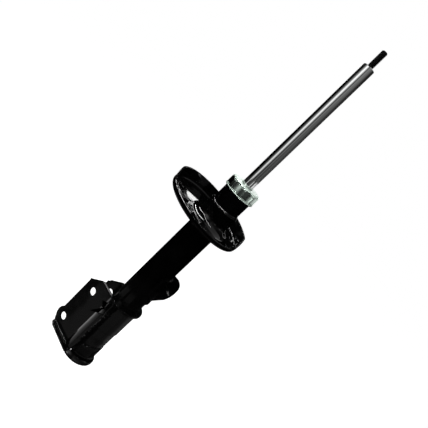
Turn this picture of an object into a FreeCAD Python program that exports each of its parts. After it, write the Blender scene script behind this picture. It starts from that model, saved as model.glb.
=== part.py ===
"""MacPherson strut: a twin-tube damper with its spring seat, knuckle bracket, link bracket,
bump cap and the valves, guide and seal inside, each piece a solid of its own.

Frame, in millimetres: Z runs up the strut's axis with the origin at the rod's shoulder, where the
top mount seats. +X points from the tube to the knuckle bracket's open side. The bracket is
symmetric about the XZ plane. Heights h are counted up from the bracket's lower edge.
"""
import FreeCAD
import Part
import math
import os

Vector = FreeCAD.Vector

# ---------------------------------------------------------------- driving dimensions
tube_od = 50.0
tube_wall = 2.5
body_length = 421.0            # bracket's lower edge to the top of the bump cap
exposed_rod = 245.0            # bump cap to the rod's shoulder, rod fully out

rod_d = 20.0
stud_d = 10.0
stud_length = 29.5
stud_chamfer = 1.5
rod_chamfer = 1.0

running_clearance = 0.05       # radial, rod in its bush and seal, band in its cylinder
body_clearance = 0.3           # between bodies that don't guide each other
loose_clearance = 0.15         # radial, valve plates on what guides them

# knuckle bracket: two pressed legs that wrap onto the tube, a strap behind, a web between
bracket_sheet = 3.2
leg_gap = 40.6                 # between the legs' inner faces
leg_height = 129.0
leg_reach = 69.6               # from the tube's axis
leg_slope_low_h = 109.0        # the leg's upper corner is cut off from here
leg_slope_end_x = 46.0         # up to here
leg_wrap_angle = 112.0         # how far round the tube a leg reaches, from +X
knuckle_hole_d = 14.5
upper_hole_x = 49.3
upper_hole_h = 99.2
lower_hole_x = 57.3
lower_hole_h = 22.0
ear_r = 17.3
toe_setback = 6.1              # the leg's lower corner, back from its edge
foot_flange = 10.8             # beside the tube
foot_flange_tip = 8.9          # where its outer corner is cut off
foot_flange_end = 6.5          # how far short of the leg's edge the foot flange stops
foot_corner_cut = 8.8          # along the leg
foot_corner_left = 4.8         # what is left of the flange's width at its end
foot_corner_r = 1.5
top_lip = 4.0                  # outward, round the leg's upper corner
top_lip_rise = 1.4             # by how much it flares
bend_r = 4.0

strap_height = 134.0
strap_sheet = 3.4
strap_relief = 1.0             # the strap's middle is set in by this much
strap_band_h = 77.0            # where the upper band starts
strap_crease_h = 35.0          # at the tube's axis
strap_flange_r = 33.8
strap_flange_sheet = 3.0
strap_flare_h = 17.0
strap_top_angle = 72.0         # how far the upper flange reaches, from +X
strap_crease_fall = 0.25       # how much the crease falls towards the legs
strap_crease_width = 3.2
seam_x = -8.6                  # welded seam between leg and strap
seam_foot_x = -2.2             # where the seam ends at the foot
seam_turn_h = 33.0             # below this the seam leans
seam_gap = 5.3
seam_foot_gap = 0.8
seam_weld_height = 0.6         # above the leg
seam_weld_rise = 4.0           # where it starts, above the seam's turn
seam_weld_stop = 6.0           # where it ends, below the window's corner
relief_r = 1.9
relief_x = 6.4
relief_set_out = 0.9
relief_h = 13.0

web_sheet = 3.0
web_low_h = 10.0
web_high_h = 116.0
web_return = 7.0

window_tip_x = 22.5            # the cut-out in each leg, beside the tube
window_tip_h = 108.0
window_low_x = 26.0
window_low_h = 77.5
window_tongue_x = 12.5
window_tongue_h = 101.0
window_top_h = 124.0
window_top_x = 2.0
window_back_x = -14.9
window_back_h = 112.0

# spring seat: a pressed dish, tilted and set off from the tube's axis
seat_h = 346.4                 # low rim's centre
seat_r = 76.6                  # outside, at the low rim
seat_draft = 0.2               # outward lean of the wall above the low rim
seat_wall_draft = 0.05         # and below it
seat_sheet = 2.6
seat_depth = 6.4               # low rim to floor, inside
seat_rise = 13.0               # by how much the rim's other half is higher
seat_rise_turn = -54.0         # direction of the high half
seat_ramp = 13.0               # half the width of the ramps between the halves
seat_ramp_r = 10.0
seat_tilt = 7.0
seat_turn = 4.8                # direction that the dish is set off to and rises towards
seat_offset = 16.9
seat_bend_r = 1.5
seat_flare_r = 13.0
neck_wall = 2.8
neck_rise = 24.6               # from the low rim's centre to the neck's top
stop_inner_r = 46.0            # spring's end stop, pressed up from the floor
stop_outer_r = 70.0
stop_height = 3.8
stop_sink = 1.0                # into the floor
stop_slope = 1.5
stop_start = 33.0
stop_sweep = 42.0

# stabiliser link bracket
link_turn = -122.0             # direction it stands out in
link_reach = 53.6
link_low_h = 157.6             # where the plate's edge meets the tube, below
link_high_h = 223.5            # and above
link_sheet = 3.0
link_shoulder = (38.4, 220.9)  # reach and height along the plate's rounded edge
link_upper = (49.4, 213.2)
link_widest_h = 198.0
link_lower = (51.9, 184.0)
link_tail = (46.9, 173.6)
link_wrap_angle = 80.0         # how far the plate's foot wraps round the tube
link_foot_inset = 3.0          # the foot's ends, in from the plate's
link_bend_r = 4.0
link_weld_angle = 6.0
link_weld_inset = 5.0
link_thread_d = 10.0
link_hole_play = 0.2
link_hole_reach = 45.4
link_hole_h = 190.2
link_nut_width = 15.0
link_nut_height = 10.0
link_nut_turn = 30.0

# bump cap
cap_sheet = 1.6
cap_height = 19.0
cap_od = 55.4
cap_shoulder_r = 4.8
cap_lip = 0.7
cap_lip_height = 2.4
cap_hole_d = 22.4
flute_count = 8
flute_r = 60.0                 # nearly flat
flute_depth = 1.5
flute_first = 8.2
flute_low = 1.0                # above the lip
vent_d = 2.8
vent_drop = 1.8                # below the cap's top, on its shoulder

# base of the tube
tube_start_h = 9.2
base_recess_h = 6.7
base_flat_r = 17.0
base_sheet = 3.0
base_spigot = 11.0

# pressure cylinder and base valve
cylinder_bore = 30.0
cylinder_wall = 1.5
base_body_h = 19.2             # where the cylinder stands on the base valve
base_flange_t = 6.0
base_spigot_t = 6.0
base_skirt_wall = 3.0
base_slot_width = 8.0
rivet_d = 6.0
rivet_head_d = 9.0
rivet_head_t = 2.0
check_hole_d = 3.0
check_hole_count = 8
check_hole_r = 10.5
bleed_hole_d = 2.0
bleed_hole_count = 6
bleed_hole_r = 6.0
check_plate_t = 1.0
check_plate_rim = 3.2          # outward from the ring of holes
check_plate_lap = 2.3          # inward from the ring of holes
check_spring_rise = 2.2
spring_sheet = 0.4
spring_arm_width = 4.0
base_shim_t = 0.9

# rod guide, seal and the tube's rolled end
lip_radius = 17.0
washer_t = 1.6
washer_bore_d = 25.0
seal_t = 7.0
seal_case_t = 1.5
seal_lip_gap = 2.2
guide_t = 20.0
guide_spigot = 7.0
guide_recess_t = 4.0
bush_wall = 1.5
bush_length = 16.0
guide_drain_d = 3.0

# piston and what hangs on the rod
stop_ring_t = 6.0
stop_ring_d = 26.0
cushion_t = 8.0
cushion_d = 27.0
piston_below_stop = 92.0
spigot_d = 12.0
support_t = 2.0
support_d = 21.0
piston_t = 18.0
piston_gap = 0.4               # radial, piston body to cylinder
piston_spring_rise = 2.2
piston_collar_d = 14.0
piston_inlet_r = 11.3
piston_bleed_r = 8.1
band_width = 9.0
band_t = 1.6
piston_shim_t = 0.4
piston_shim_count = 3
piston_shim_d = 23.0
piston_washer_t = 2.0
nut_width = 17.0
nut_t = 8.0
rod_end = 3.0

weld_leg = 3.0

# ---------------------------------------------------------------- worked out from them
base = -(exposed_rod + body_length)
tube_r = tube_od / 2
tube_inner_r = tube_r - tube_wall
rod_r = rod_d / 2
leg_inner_y = leg_gap / 2
leg_outer_y = leg_inner_y + bracket_sheet
wrap_r = tube_r + bracket_sheet
cylinder_r = cylinder_bore / 2
cylinder_outer_r = cylinder_r + cylinder_wall
tube_top = base + body_length - cap_sheet
rim_low_h = seat_depth + seat_sheet
arc_mid = 1 - math.sqrt(0.5)   # how far the middle of a quarter round lies in from its corner
AXIS_Z = Vector(0, 0, 1)
ORIGIN = Vector(0, 0, 0)


# ---------------------------------------------------------------- helpers
def tube(outer_r, inner_r, low, high):
    """A ring about the strut's axis."""
    ring = Part.makeCylinder(outer_r, high - low, Vector(0, 0, low))
    if inner_r > 0:
        ring = ring.cut(Part.makeCylinder(inner_r, high - low + 2, Vector(0, 0, low - 1)))
    return ring


def wire_of(points):
    """A closed wire; a point given as (middle, end) is reached along an arc."""
    edges = []
    here = points[0]
    for step in list(points[1:]) + [points[0]]:
        if isinstance(step, tuple):
            middle, end = step
            edges.append(Part.Arc(here, middle, end).toShape())
            here = end
        elif (step - here).Length > 1e-7:
            edges.append(Part.makeLine(here, step))
            here = step
    return Part.Wire(edges)


def rz(r, z):
    """A point of a turned profile."""
    return Vector(r, 0, z)


def turned(points, start=0.0, sweep=360.0):
    """Turn a profile in the XZ plane about the strut's axis."""
    face = Part.Face(wire_of(points))
    solid = face.revolve(ORIGIN, AXIS_Z, sweep)
    solid.rotate(ORIGIN, AXIS_Z, start)
    return solid


def drilled_ring(solid, hole_d, count, ring_r, low, high, start=0.0):
    """Cut a ring of holes along Z."""
    for k in range(count):
        angle = math.radians(start + 360.0 * k / count)
        place = Vector(ring_r * math.cos(angle), ring_r * math.sin(angle), low - 1)
        solid = solid.cut(Part.makeCylinder(hole_d / 2, high - low + 2, place))
    return solid


def side_prism(outline, low_y, high_y):
    """An outline in the XZ plane, given as (x, h), drawn out along Y."""
    points = [Vector(x, low_y, base + h) for x, h in outline]
    face = Part.Face(Part.makePolygon(points + [points[0]]))
    return face.extrude(Vector(0, high_y - low_y, 0))


def sector(outer_r, inner_r, low, high, start, end):
    """A piece of a ring, between two angles from +X."""
    profile = [rz(inner_r, low), rz(outer_r, low), rz(outer_r, high), rz(inner_r, high)]
    return turned(profile, start, end - start)


def mirrored(solid):
    """The same piece on the bracket's other side."""
    return solid.mirror(ORIGIN, Vector(0, 1, 0))


def hexagon(width, low, high, bore_d):
    """A hexagonal nut about the strut's axis, its corners chamfered."""
    corner = width / math.sqrt(3)
    points = [Vector(corner * math.cos(math.radians(60 * k)), corner * math.sin(math.radians(60 * k)), low)
              for k in range(7)]
    body = Part.Face(Part.makePolygon(points)).extrude(Vector(0, 0, high - low))
    chamfer = (corner - width / 2) * 0.9
    lathe = turned([rz(0, low), rz(corner - chamfer, low), rz(corner, low + chamfer),
                    rz(corner, high - chamfer), rz(corner - chamfer, high), rz(0, high)])
    return body.common(lathe).cut(tube(bore_d / 2, 0, low - 1, high + 1))


def fillet_edges(solid, radius, wanted):
    """Round the edges that wanted() picks."""
    edges = [edge for edge in solid.Edges if wanted(edge)]
    return solid.makeFillet(radius, edges)


def save(name, shape):
    """Write one node."""
    shape = shape.removeSplitter()
    shape.exportStep("parts/" + name + ".step")


# ---------------------------------------------------------------- tube, base and bump cap
def outer_tube():
    """Reservoir tube, its upper end rolled in over the seal washer."""
    roll = tube_wall
    profile = [
        rz(tube_inner_r, base + tube_start_h),
        rz(tube_r, base + tube_start_h),
        rz(tube_r, tube_top - roll),
        (rz(tube_r - roll * arc_mid, tube_top - roll * arc_mid), rz(tube_r - roll, tube_top)),
        rz(lip_radius, tube_top),
        rz(lip_radius, tube_top - roll),
        rz(tube_inner_r, tube_top - roll),
    ]
    return turned(profile)


def base_cap():
    """Pressed cup that closes the tube's lower end."""
    low = base + base_recess_h
    rim = base + tube_start_h
    top = rim + base_spigot
    inner = tube_inner_r - base_sheet
    profile = [
        rz(0, low),
        rz(base_flat_r, low),
        rz(tube_inner_r, rim),
        rz(tube_inner_r, top),
        rz(inner, top),
        rz(inner, rim + base_sheet),
        rz(base_flat_r - 1.0, low + base_sheet),
        rz(0, low + base_sheet),
    ]
    return turned(profile)


def base_weld():
    """Weld bead between the tube's end and the cup."""
    rim = base + tube_start_h
    slope = (tube_start_h - base_recess_h) / (tube_inner_r - base_flat_r)
    toe_r = tube_inner_r - weld_leg * 0.75
    profile = [
        rz(tube_inner_r, rim),
        rz(tube_r, rim),
        (rz(tube_r - 0.6, rim - 1.5), rz(tube_inner_r - 0.2, rim - 2.2)),
        rz(toe_r, rim - (tube_inner_r - toe_r) * slope),
    ]
    return turned(profile)


def bump_cap():
    """Pressed cap over the tube's end: flat top, fluted skirt, rolled lip and a vent to each flute."""
    top = base + body_length
    low = top - cap_height
    outer_r = cap_od / 2
    inner_r = outer_r - cap_sheet
    shoulder = cap_shoulder_r
    lip_r = outer_r + cap_lip
    profile = [
        rz(cap_hole_d / 2, top - cap_sheet),
        rz(inner_r - shoulder + cap_sheet, top - cap_sheet),
        (rz(inner_r - (shoulder - cap_sheet) * arc_mid, top - cap_sheet - (shoulder - cap_sheet) * arc_mid),
         rz(inner_r, top - shoulder)),
        rz(inner_r, low),
        rz(lip_r - cap_lip, low),
        (rz(lip_r, low + cap_lip_height / 2), rz(outer_r, low + cap_lip_height)),
        rz(outer_r, top - shoulder),
        (rz(outer_r - shoulder * arc_mid, top - shoulder * arc_mid), rz(outer_r - shoulder, top)),
        rz(cap_hole_d / 2, top),
    ]
    cup = turned(profile)
    flute_from = low + cap_lip_height + flute_low
    pad_ring = tube(outer_r - flute_low / 2, tube_r, low + cap_lip_height, top - cap_sheet)
    flute_axis_r = outer_r + flute_r - flute_depth
    for k in range(flute_count):
        angle = math.radians(flute_first + 360.0 * k / flute_count)
        out = Vector(math.cos(angle), math.sin(angle), 0)
        pad = Part.makeCylinder(flute_r + cap_sheet, cap_height, out * flute_axis_r + AXIS_Z * low)
        flute = Part.makeCylinder(flute_r, cap_height, out * flute_axis_r + AXIS_Z * flute_from)
        vent_from = out * (outer_r - flute_depth - vent_d) + AXIS_Z * (top - vent_drop - vent_d)
        vent = Part.makeCylinder(vent_d / 2, cap_height, vent_from, out + AXIS_Z)
        cup = cup.fuse(pad.common(pad_ring)).cut(flute).cut(vent)
    return cup.cut(tube(tube_r, 0, low - 1, top - cap_sheet))


# ---------------------------------------------------------------- spring seat
def seat_frame(solid):
    """Move a piece made about the Z axis, rim at z = 0, onto the seat's tilted axis."""
    solid.rotate(ORIGIN, Vector(0, 1, 0), -seat_tilt)
    solid.translate(Vector(seat_offset, 0, base + seat_h))
    solid.rotate(ORIGIN, AXIS_Z, seat_turn)
    return solid


def seat_pan():
    """The dish before its neck is drawn: floor, bend and leaning wall, all at the high rim's height."""
    high_r = seat_r + seat_rise * seat_draft
    low_r = seat_r - rim_low_h * seat_wall_draft
    floor = -seat_depth
    under = -rim_low_h
    outer = seat_bend_r + seat_sheet
    inner_r = low_r - seat_sheet
    profile = [
        rz(0, under),
        rz(low_r - outer, under),
        (rz(low_r - outer * arc_mid, under + outer * arc_mid),
         rz(low_r + outer * seat_wall_draft, under + outer)),
        rz(seat_r, 0),
        rz(high_r, seat_rise),
        rz(high_r - seat_sheet, seat_rise),
        rz(seat_r - seat_sheet, 0),
        rz(inner_r + outer * seat_wall_draft, floor + seat_bend_r),
        (rz(inner_r - seat_bend_r * arc_mid, floor + seat_bend_r * arc_mid),
         rz(inner_r - seat_bend_r, floor)),
        rz(0, floor),
    ]
    return seat_frame(turned(profile))


def rim_cutter():
    """What is trimmed off the wall: all above the low rim on one half, with a ramp on each side."""
    far = seat_r * 1.5
    outline = [Vector(-far, 0, 0), Vector(-seat_ramp, 0, 0), Vector(seat_ramp, 0, seat_rise),
               Vector(far, 0, seat_rise), Vector(far, 0, far), Vector(-far, 0, far)]
    block = Part.Face(Part.makePolygon(outline + [outline[0]])).extrude(Vector(0, 2 * far, 0))
    block.translate(Vector(0, -far, 0))

    def ramp_end(edge):
        middle = edge.CenterOfMass
        return edge.BoundBox.YLength > far and abs(middle.x) < seat_ramp + 1 and middle.z < seat_rise + 1

    block = fillet_edges(block, seat_ramp_r, ramp_end)
    block.rotate(ORIGIN, AXIS_Z, seat_rise_turn - seat_turn)
    return seat_frame(block)


def flared_stem(stem_r, floor_top, flare_r, stem_high):
    """A disc on the seat's axis with a stem round the tube growing out of it through a flare."""
    under = 30.0
    disc = seat_frame(Part.makeCylinder(seat_r, under, Vector(0, 0, floor_top - under)))
    stem_low = base + seat_h - 1.5 * under
    stem = Part.makeCylinder(stem_r, stem_high - stem_low, Vector(0, 0, stem_low))
    body = disc.fuse(stem)
    top_normal = seat_frame(Part.makeLine(ORIGIN, AXIS_Z))
    up = (top_normal.Vertexes[1].Point - top_normal.Vertexes[0].Point).normalize()
    on_floor = seat_frame(Part.Vertex(Vector(0, 0, floor_top))).Point

    def junction(edge):
        centre = edge.CenterOfMass
        height = (centre - on_floor).dot(up)
        size = edge.BoundBox.XLength
        return abs(height) < 0.5 and size < stem_r * 2.6 and len(edge.Vertexes) == 1

    return fillet_edges(body, flare_r, junction)


def spring_seat():
    """Dish with a stepped rim, a flat floor, an end stop for the spring and a drawn neck round the tube."""
    neck_high = base + seat_h + neck_rise
    upper = flared_stem(tube_r + neck_wall, -seat_depth, seat_flare_r, neck_high)
    inside = seat_frame(Part.makeCylinder(seat_r - 3 * seat_sheet, 4 * neck_rise, Vector(0, 0, -rim_low_h)))
    upper = upper.common(inside)
    lower = flared_stem(tube_r, -rim_low_h, seat_flare_r + seat_sheet, neck_high + neck_rise)
    seat = seat_pan().cut(rim_cutter()).fuse(upper).cut(lower)
    sunk = -seat_depth - stop_sink
    raised = -seat_depth + stop_height
    pad = turned([rz(stop_inner_r, sunk), rz(stop_outer_r, sunk), rz(stop_outer_r - stop_slope, raised),
                  rz(stop_inner_r + stop_slope, raised)], stop_start, stop_sweep)
    return seat.fuse(seat_frame(pad))


def seat_weld():
    """Weld bead round the top of the seat's neck."""
    low = base + seat_h + neck_rise
    profile = [
        rz(tube_r, low),
        rz(tube_r + neck_wall - 0.3, low),
        (rz(tube_r + neck_wall - 0.9, low + 1.6), rz(tube_r, low + weld_leg)),
    ]
    return turned(profile)


# ---------------------------------------------------------------- knuckle bracket
def leg_outline():
    """The leg's outline seen from the side, as a face in the XZ plane."""
    high = base + leg_height
    centre = Vector(lower_hole_x, 0, base + lower_hole_h)
    rise = math.sqrt(ear_r ** 2 - (leg_reach - lower_hole_x) ** 2)
    toe = Vector(leg_reach - toe_setback, 0, base)
    toe_arm = toe - centre
    toe_angle = math.atan2(toe_arm.z, toe_arm.x) + math.acos(ear_r / toe_arm.Length)
    tangent = centre + Vector(ear_r * math.cos(toe_angle), 0, ear_r * math.sin(toe_angle))
    points = [
        Vector(-wrap_r - 5, 0, base),
        toe,
        tangent,
        (Vector(lower_hole_x + ear_r, 0, centre.z), Vector(leg_reach, 0, centre.z + rise)),
        Vector(leg_reach, 0, base + leg_slope_low_h),
        Vector(leg_slope_end_x, 0, high),
        Vector(-wrap_r - 5, 0, high),
    ]
    return Part.Face(wire_of(points))


def leg_section():
    """The leg's section seen from above: a flat leg that wraps onto the tube."""
    far_x = lower_hole_x + ear_r + 1
    angle = math.radians(leg_wrap_angle)
    inner_x = math.sqrt(tube_r ** 2 - leg_inner_y ** 2)
    outer_x = math.sqrt(wrap_r ** 2 - leg_outer_y ** 2)
    inner_mid = (math.atan2(leg_inner_y, inner_x) + angle) / 2
    outer_mid = (math.atan2(leg_outer_y, outer_x) + angle) / 2
    points = [
        Vector(tube_r * math.cos(angle), tube_r * math.sin(angle), base),
        (Vector(tube_r * math.cos(inner_mid), tube_r * math.sin(inner_mid), base),
         Vector(inner_x, leg_inner_y, base)),
        Vector(far_x, leg_inner_y, base),
        Vector(far_x, leg_outer_y, base),
        Vector(outer_x, leg_outer_y, base),
        (Vector(wrap_r * math.cos(outer_mid), wrap_r * math.sin(outer_mid), base),
         Vector(wrap_r * math.cos(angle), wrap_r * math.sin(angle), base)),
    ]
    return Part.Face(wire_of(points)).extrude(Vector(0, 0, leg_height))


def seam_side(strap_side):
    """What lies on one side of the seam between leg and strap, seen from the side."""
    side = -1 if strap_side else 1
    far = 2 * leg_reach
    over = strap_height + bracket_sheet
    seam = seam_x + side * seam_gap / 2
    foot = seam_foot_x + side * seam_foot_gap / 2
    outline = [(side * far, -bracket_sheet), (foot, -bracket_sheet), (foot, 0.0), (seam, seam_turn_h),
               (seam, over), (side * far, over)]
    return side_prism(outline, -far, far)


def foot_plate():
    """The leg's foot flange, its outer corner rounded."""
    near_y = leg_outer_y + foot_flange
    tip_y = leg_outer_y + foot_flange_tip
    tip_x = leg_reach - foot_flange_end
    inside_y = leg_inner_y + bracket_sheet / 2
    points = [Vector(seam_foot_x, inside_y, base), Vector(tip_x, inside_y, base),
              Vector(tip_x, leg_outer_y + foot_corner_left, base),
              Vector(tip_x - foot_corner_cut, tip_y, base), Vector(seam_foot_x, near_y, base)]
    plate = Part.Face(Part.makePolygon(points + [points[0]])).extrude(Vector(0, 0, bracket_sheet))

    def outer_corner(edge):
        middle = edge.CenterOfMass
        return edge.BoundBox.ZLength > 1 and middle.x > bend_r and middle.y > leg_outer_y

    return fillet_edges(plate, foot_corner_r, outer_corner)


def lip_wire(y, rise):
    """The top lip's section along the leg's edge, moved out by rise."""
    start_x = math.sqrt(wrap_r ** 2 - leg_outer_y ** 2)
    run = leg_reach - leg_slope_end_x
    drop = leg_height - leg_slope_low_h
    length = math.hypot(run, drop)
    out = Vector(drop / length, 0, run / length)
    corner_out = Vector((1 - out.z) / out.x, 0, 1)
    top = base + leg_height
    end = Vector(leg_reach - 2.0, 0, base + leg_slope_low_h + 2.0 * drop / run)
    low = rise - bracket_sheet
    points = [
        Vector(start_x, y, top + rise),
        Vector(leg_slope_end_x, y, top) + corner_out * rise,
        Vector(end.x, y, end.z) + out * rise,
        Vector(end.x, y, end.z) + out * low,
        Vector(leg_slope_end_x, y, top) + corner_out * low,
        Vector(start_x, y, top + low),
    ]
    return Part.makePolygon(points + [points[0]])


def knuckle_leg():
    """One leg: side plate with two bolt holes, a flared lip, a foot flange and the wrap round the tube."""
    outline = leg_outline().extrude(Vector(0, 80, 0))
    leg = leg_section().common(outline)
    leg = leg.fuse(foot_plate().cut(tube(tube_r, 0, base - 1, base + bracket_sheet + 1)))
    leg = leg.removeSplitter()

    def along_foot(edge):
        box = edge.BoundBox
        return (abs(box.ZMin - base - bracket_sheet) < 1e-4 and box.ZLength < 1e-4 and
                abs(box.YMin - leg_outer_y) < 1e-4 and box.YLength < 1e-4 and box.XLength > 20)

    leg = fillet_edges(leg, bend_r, along_foot)
    lip = Part.makeLoft([lip_wire(leg_outer_y - bracket_sheet / 2, 0.0),
                         lip_wire(leg_outer_y + top_lip, top_lip_rise)], True, True)
    leg = leg.fuse(lip)

    window = side_prism([
        (window_tip_x, window_tip_h), (window_tongue_x, window_tongue_h), (window_low_x, window_low_h),
        (window_back_x, window_back_h), (window_back_x, window_top_h), (window_top_x, window_top_h)],
        leg_inner_y - 6, wrap_r + 10)
    leg = leg.cut(window).common(seam_side(False))
    leg = leg.cut(relief_hole(1))
    for x, h in ((upper_hole_x, upper_hole_h), (lower_hole_x, lower_hole_h)):
        leg = leg.cut(Part.makeCylinder(knuckle_hole_d / 2, 60, Vector(x, 0, base + h), Vector(0, 1, 0)))
    return leg


def relief_hole(side):
    """Drain hole at the foot, where leg and strap meet."""
    place = Vector(relief_x, side * (tube_r + relief_set_out), base - 1)
    return Part.makeCylinder(relief_r, relief_h + 1, place)


def bracket_strap():
    """Strap round the back of the tube, flanged at both ends, its middle set in."""
    outer_r = tube_r + strap_sheet
    high = base + strap_height
    flare = strap_flare_h - strap_flange_sheet
    flare_out = strap_flange_r - outer_r
    profile = [
        rz(tube_r, high),
        rz(tube_r, base + strap_flare_h - 2.0),
        (rz(tube_r + 1.6, base + 5.0), rz(strap_flange_r - 4.5, base)),
        rz(strap_flange_r, base),
        rz(strap_flange_r, base + strap_flange_sheet),
        (rz(outer_r + flare_out * 0.33, base + strap_flange_sheet + flare * 0.33),
         rz(outer_r, base + strap_flare_h)),
        rz(outer_r, high - strap_flange_sheet - 2.0),
        (rz(outer_r + 0.6, high - strap_flange_sheet - 0.6), rz(outer_r + 2.0, high - strap_flange_sheet)),
        rz(strap_flange_r, high - strap_flange_sheet),
        rz(strap_flange_r, high),
    ]
    strap = turned(profile, 90.0, 180.0).common(seam_side(True))
    strap = strap.cut(strap_set_in(outer_r))
    flange = sector(strap_flange_r, tube_r, high - strap_flange_sheet, high,
                    strap_top_angle, 360.0 - strap_top_angle)
    strap = strap.fuse(flange)
    return strap.cut(relief_hole(1)).cut(relief_hole(-1))


def strap_set_in(outer_r):
    """What the strap's middle is set in by: a band with a slanting groove along its lower edge."""
    far = 3 * outer_r
    fall = far * strap_crease_fall

    def slanting(low, high, depth):
        outline = [(far, low - fall), (-far, low + fall), (-far, high + fall), (far, high - fall)]
        skin = tube(outer_r + strap_relief, outer_r - depth, base, base + strap_height)
        return side_prism(outline, -far, far).common(skin)

    crease = slanting(strap_crease_h - strap_crease_width, strap_crease_h, 2 * strap_relief)
    band = slanting(strap_crease_h - strap_relief, strap_height, strap_relief)
    return crease.fuse(band.common(tube(far, 0, base, base + strap_band_h)))


def bracket_web():
    """Channel between the legs, its back against the tube."""
    low = web_low_h
    high = web_high_h
    back = tube_r
    front = back + web_sheet
    outer = leg_inner_y
    inner = outer - web_sheet
    end = front + web_return
    bend = web_sheet + 2.0
    points = [
        Vector(back, -(outer - bend), base + low),
        (Vector(back + bend * arc_mid, -(outer - bend * arc_mid), base + low),
         Vector(back + bend, -outer, base + low)),
        Vector(end, -outer, base + low),
        Vector(end, -inner, base + low),
        Vector(front, -inner, base + low),
        Vector(front, inner, base + low),
        Vector(end, inner, base + low),
        Vector(end, outer, base + low),
        Vector(back + bend, outer, base + low),
        (Vector(back + bend * arc_mid, outer - bend * arc_mid, base + low),
         Vector(back, outer - bend, base + low)),
    ]
    return Part.Face(wire_of(points)).extrude(Vector(0, 0, high - low))


def seam_weld():
    """Bead that fills the seam between a leg and the strap."""
    low = base + seam_turn_h + seam_weld_rise
    high = base + window_back_h - seam_weld_stop
    ring = tube(wrap_r + seam_weld_height, tube_r, low, high)
    slab = Part.makeBox(seam_gap, 2 * wrap_r, high - low, Vector(seam_x - seam_gap / 2, 0, low))
    return ring.common(slab)


# ---------------------------------------------------------------- stabiliser link bracket
def link_bracket():
    """Upright plate with a welding foot that follows the tube."""
    low = base + link_low_h
    high = base + link_high_h
    inside_r = tube_r - tube_wall

    def on_edge(place):
        return Vector(place[0], 0, base + place[1])

    points = [
        Vector(inside_r, 0, high),
        Vector(tube_r + link_sheet, 0, high),
        on_edge(link_shoulder),
        (on_edge(link_upper), on_edge((link_reach, link_widest_h))),
        (on_edge(link_lower), on_edge(link_tail)),
        Vector(tube_r + link_sheet, 0, low),
        Vector(inside_r, 0, low),
    ]
    plate = Part.Face(wire_of(points)).extrude(Vector(0, link_sheet, 0))
    plate.translate(Vector(0, -link_sheet / 2, 0))
    foot_outer = tube_r + link_sheet
    foot = sector(foot_outer, tube_r, low + link_foot_inset, high - link_foot_inset, -link_wrap_angle, 0.0)
    bracket = plate.fuse(foot).cut(tube(tube_r, 0, low - 1, high + 1)).removeSplitter()

    def inner_bend(edge):
        middle = edge.CenterOfMass
        return (edge.BoundBox.ZLength > link_hole_reach / 2 and abs(middle.y + link_sheet / 2) < 1e-3 and
                abs(math.hypot(middle.x, middle.y) - foot_outer) < 1e-3)

    bracket = fillet_edges(bracket, link_bend_r, inner_bend)
    hole = Part.makeCylinder(link_thread_d / 2 + link_hole_play, 2 * link_reach,
                             Vector(link_hole_reach, -link_reach, base + link_hole_h), Vector(0, 1, 0))
    bracket = bracket.cut(hole)
    bracket.rotate(ORIGIN, AXIS_Z, link_turn)
    return bracket


def link_nut():
    """Weld nut behind the link bracket's hole."""
    nut = hexagon(link_nut_width, 0.0, link_nut_height, link_thread_d)
    nut.rotate(ORIGIN, AXIS_Z, link_nut_turn)
    nut.rotate(ORIGIN, Vector(1, 0, 0), -90.0)
    nut.translate(Vector(link_hole_reach, link_sheet / 2, base + link_hole_h))
    nut.rotate(ORIGIN, AXIS_Z, link_turn)
    return nut


def link_weld():
    """Weld bead up the edge of the link bracket's foot."""
    low = base + link_low_h + link_weld_inset
    high = base + link_high_h - link_weld_inset
    start = link_turn - link_wrap_angle
    return sector(tube_r + weld_leg * 0.8, tube_r, low, high, start - link_weld_angle, start)


# ---------------------------------------------------------------- cylinder and base valve
cylinder_low = base + base_body_h
body_top = cylinder_low + base_spigot_t
body_low = cylinder_low - base_flange_t
guide_high = tube_top - tube_wall - washer_t - seal_t
guide_low = guide_high - guide_t


def inner_cylinder():
    """Pressure cylinder, from the base valve to the rod guide."""
    return tube(cylinder_outer_r, cylinder_r, cylinder_low, guide_low)


def base_valve_body():
    """Base valve: a drilled disc on a slotted skirt."""
    foot = base + base_recess_h + base_sheet
    skirt_inner = base_flat_r - 1.5 - base_skirt_wall
    body = tube(base_flat_r - 1.5, skirt_inner, foot, body_low)
    for k in range(2):
        slot = Part.makeBox(4 * base_flat_r, base_slot_width, (body_low - foot) * 0.6,
                            Vector(-2 * base_flat_r, -base_slot_width / 2, foot))
        slot.rotate(ORIGIN, AXIS_Z, 90.0 * k)
        body = body.cut(slot)
    body = body.fuse(tube(cylinder_outer_r, rivet_d / 2, body_low, cylinder_low))
    body = body.fuse(tube(cylinder_r, rivet_d / 2, cylinder_low, body_top))
    body = drilled_ring(body, check_hole_d, check_hole_count, check_hole_r, body_low, body_top)
    return drilled_ring(body, bleed_hole_d, bleed_hole_count, bleed_hole_r, body_low, body_top)


def check_plate(low, inner_r):
    """Valve plate over a ring of holes."""
    return tube(check_hole_r + check_plate_rim, inner_r, low, low + check_plate_t)


def star_spring(low, rise, inner_r, outer_r, fixed_high):
    """Dished spring with four arms, its hub at one end and its arms' tips on the plate."""
    profile = [
        rz(inner_r, fixed_high - spring_sheet),
        rz(inner_r + 1.5, fixed_high - spring_sheet),
        rz(outer_r, low),
        rz(outer_r, low + spring_sheet),
        rz(inner_r + 1.5, fixed_high),
        rz(inner_r, fixed_high),
    ]
    cone = turned(profile)
    arms = tube(inner_r + 1.5, 0, low - 1, low + rise + 1)
    for k in range(2):
        arm = Part.makeBox(2 * outer_r + 2, spring_arm_width, rise + 2,
                           Vector(-outer_r - 1, -spring_arm_width / 2, low - 1))
        arm.rotate(ORIGIN, AXIS_Z, 45.0 + 90.0 * k)
        arms = arms.fuse(arm)
    return cone.common(arms)


def base_check_plate():
    """Plate that lets oil back in from the reservoir."""
    return check_plate(body_top, check_hole_r - check_plate_lap)


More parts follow.
